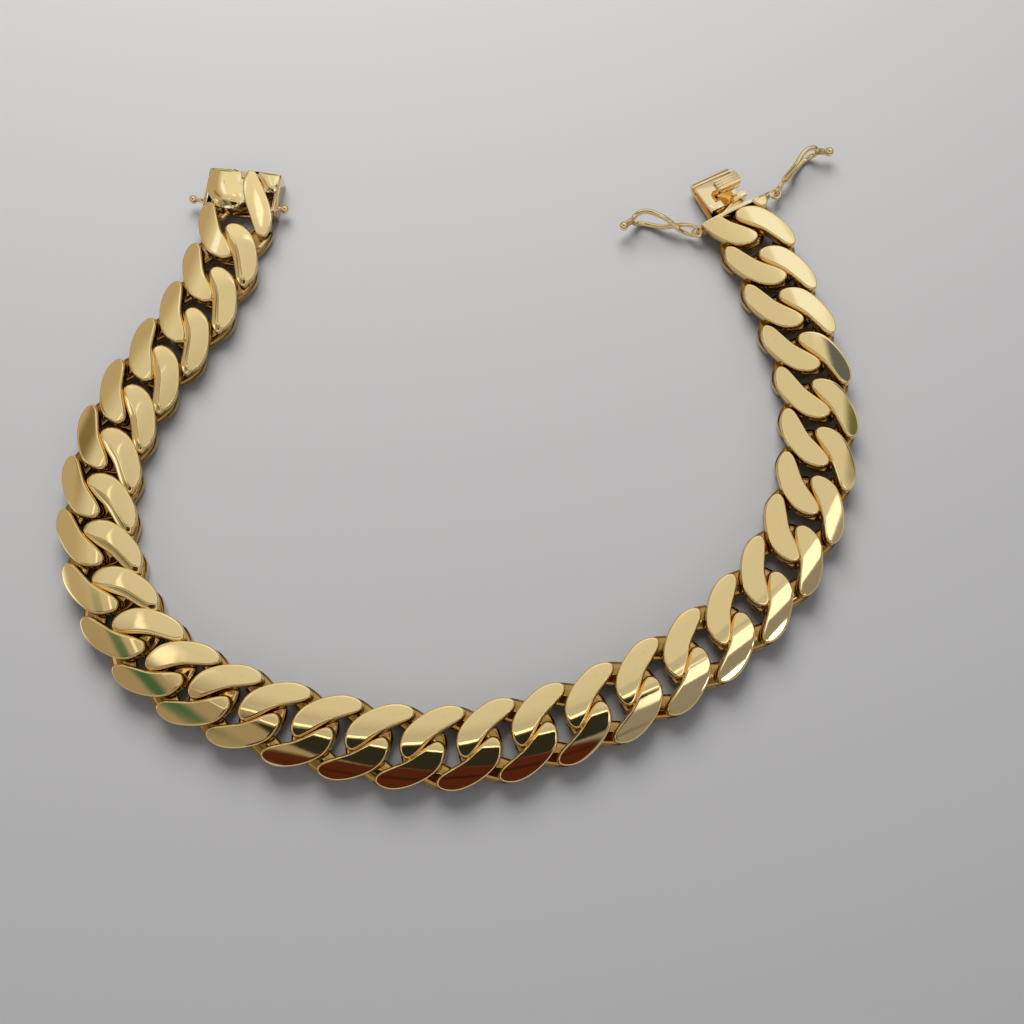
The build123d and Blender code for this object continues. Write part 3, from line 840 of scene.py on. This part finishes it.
mix = add_node(card, "Mix",
               {"Factor": edge.outputs["Result"], MIX_A: card_in.outputs["Behind"],
                MIX_B: card_in.outputs["Colour"]}, data_type="RGBA")
card.links.new(mix.outputs[MIX_RESULT], card_out.inputs["Colour"])
print("studio card:", len(card.nodes), "nodes")

# %% The cards
# Name: centre, half size (both as the slope of the direction), turn in degrees, softness, colour.
CARDS = {
    "far ceiling": ((-0.05, 1.00), (0.95, 0.48), 0, 0.30, (0.87, 0.88, 0.93)),
    "left wall": ((-1.15, 0.45), (0.62, 1.3), 0, 0.30, (0.47, 0.42, 0.36)),
    "left window": ((-1.55, -0.10), (0.68, 0.30), 0, 0.12, (1.15, 1.25, 1.5)),
    "left shade": ((-0.74, 0.46), (0.17, 0.06), -32, 0.6, (0.22, 0.18, 0.11)),
    "left low wall": ((-0.50, -0.22), (0.55, 0.30), 20, 0.35, (0.34, 0.30, 0.26)),
    "plant": ((-0.47, -0.05), (0.06, 0.17), 12, 0.65, (0.055, 0.145, 0.10)),
    "lower light": ((0.45, -0.25), (0.60, 0.30), 25, 0.25, (0.28, 0.28, 0.33)),
    "dark window": ((-0.045, -0.05), (0.22, 0.125), 4, 0.07, (0.026, 0.027, 0.025)),
    "wooden door": ((-0.06, -0.42), (0.29, 0.25), 6, 0.06, (0.080, 0.020, 0.013)),
    "door gap": ((-0.04, -0.27), (0.24, 0.012), 8, 0.8, (0.035, 0.012, 0.009)),
    "dim strip": ((0.02, 0.14), (0.26, 0.035), 2, 0.3, (0.52, 0.54, 0.60)),
    "window edge": ((-0.04, 0.091), (0.21, 0.010), 1, 0.35, (2.0, 1.9, 1.7)),
    "bright strip": ((0.40, 0.075), (0.27, 0.065), 25, 0.12, (1.35, 1.40, 1.7)),
    "lamp": ((0.445, -0.165), (0.022, 0.05), -35, 0.3, (6.0, 6.0, 6.0)),
    "small lamp": ((0.545, -0.10), (0.035, 0.016), -25, 0.3, (6.0, 6.0, 6.0)),
    "upper light": ((0.52, 0.68), (0.26, 0.13), 27, 0.25, (0.98, 1.08, 1.4)),
    "grey screen": ((0.76, 0.53), (0.22, 0.05), 12, 0.3, (0.12, 0.15, 0.22)),
    "right shade": ((0.86, 0.35), (0.20, 0.09), 0, 0.4, (0.14, 0.16, 0.11)),
    "left lamp": ((-0.41, 0.60), (0.06, 0.035), -30, 0.5, (1.0, 1.15, 1.6)),
    "left edge": ((-0.27, 0.22), (0.10, 0.014), 62, 0.7, (1.2, 1.2, 1.3)),
    "top light": ((-0.02, 0.53), (0.09, 0.03), -15, 0.5, (1.15, 1.25, 1.5)),
}
print("studio cards:", len(CARDS))

# %% The room behind the cards
# Height is the upward share of a direction. The walls turn into the ceiling between the two
# heights of WALL_TOP, and below LOWEST the height is held, so that the slopes stay finite.
CEILING = (0.68, 0.69, 0.73, 1)
WALLS = (0.17, 0.15, 0.13, 1)
WALL_TOP = (0.22, 0.55)
LOWEST = 0.04
world = bpy.data.worlds.new("studio")
bpy.context.scene.world = world
world.use_nodes = True
tree = world.node_tree
view = add_node(tree, "TexCoord", {})
axes = add_node(tree, "SeparateXYZ", {0: view.outputs["Generated"]})
height = add_node(tree, "Math", {0: axes.outputs["Z"], 1: LOWEST}, operation="MAXIMUM")
slopes = add_node(tree, "CombineXYZ", {})
for axis in ("X", "Y"):
    slope = add_node(tree, "Math", {0: axes.outputs[axis], 1: height.outputs["Value"]}, operation="DIVIDE")
    tree.links.new(slope.outputs["Value"], slopes.inputs[axis])
rise = add_node(tree, "MapRange",
                {"Value": axes.outputs["Z"], "From Min": WALL_TOP[0], "From Max": WALL_TOP[1]},
                interpolation_type="SMOOTHSTEP")
room = add_node(tree, "Mix", {"Factor": rise.outputs["Result"], MIX_A: WALLS, MIX_B: CEILING},
                data_type="RGBA")
print("room:", len(tree.nodes), "nodes")

# %% Hang the cards
# The camera itself sees a plain pale backdrop where the table ends.
BACKDROP = (0.40, 0.395, 0.39, 1)
behind = room.outputs[MIX_RESULT]
for label, (centre, half, turn, softness, colour) in CARDS.items():
    hung = add_node(tree, "Group",
                    {"Behind": behind, "Direction": slopes.outputs["Vector"], "Centre": (*centre, 0),
                     "Size": (*half, 1), "Turn": (0, 0, radians(turn)), "Softness": softness,
                     "Colour": (*colour, 1)}, node_tree=card, label=label)
    behind = hung.outputs["Colour"]
ray = add_node(tree, "LightPath", {})
backdrop = add_node(tree, "Mix", {"Factor": ray.outputs["Is Camera Ray"], MIX_A: behind, MIX_B: BACKDROP},
                    data_type="RGBA")
tree.links.new(backdrop.outputs[MIX_RESULT], tree.nodes["Background"].inputs["Color"])
print("world:", len(tree.nodes), "nodes")

# %% [markdown]
# The floor of the photo is brighter towards its top, so one soft lamp stands there. It is
# hidden from mirror rays, because the cards alone make the reflections.

# %% Soft lamp
LAMP_PLACE = Vector((-0.03, 0.22, 0.22))
LAMP_SIZE = 0.24
LAMP_POWER = 1.75
lamp_data = bpy.data.lights.new("soft_lamp", "AREA")
lamp_data.shape = "DISK"
lamp_data.size = LAMP_SIZE
lamp_data.energy = LAMP_POWER
lamp = bpy.data.objects.new("soft_lamp", lamp_data)
bpy.context.collection.objects.link(lamp)
lamp.location = LAMP_PLACE
lamp.rotation_euler = (-LAMP_PLACE).to_track_quat("-Z", "Y").to_euler()
lamp.visible_glossy = False
print("lamp:", LAMP_POWER, "W")

# %% [markdown]
# ## The camera
# The photo was taken from above, tilted a little from straight down. Place, tilt and focal
# length were fitted to the links' places in it. The standard view transform is used, since a
# film-like one would take the colour out of the gold.

# %% Camera
CAMERA_PLACE = (6.422 * MM, -42.923 * MM, 134.58 * MM)
CAMERA_TILT = radians(14.305)
FOCAL_PIXELS = 1063.4
IMAGE_PIXELS = 1024
SENSOR = 36
NEAREST = 1 * MM
camera = bpy.data.objects.new("camera", bpy.data.cameras.new("camera"))
bpy.context.collection.objects.link(camera)
camera.location = CAMERA_PLACE
camera.rotation_euler = (CAMERA_TILT, 0, 0)
camera.data.sensor_width = SENSOR
camera.data.lens = SENSOR * FOCAL_PIXELS / IMAGE_PIXELS
camera.data.clip_start = NEAREST
bpy.context.scene.camera = camera
bpy.context.scene.view_settings.view_transform = "Standard"
print("lens:", round(camera.data.lens, 1), "mm")
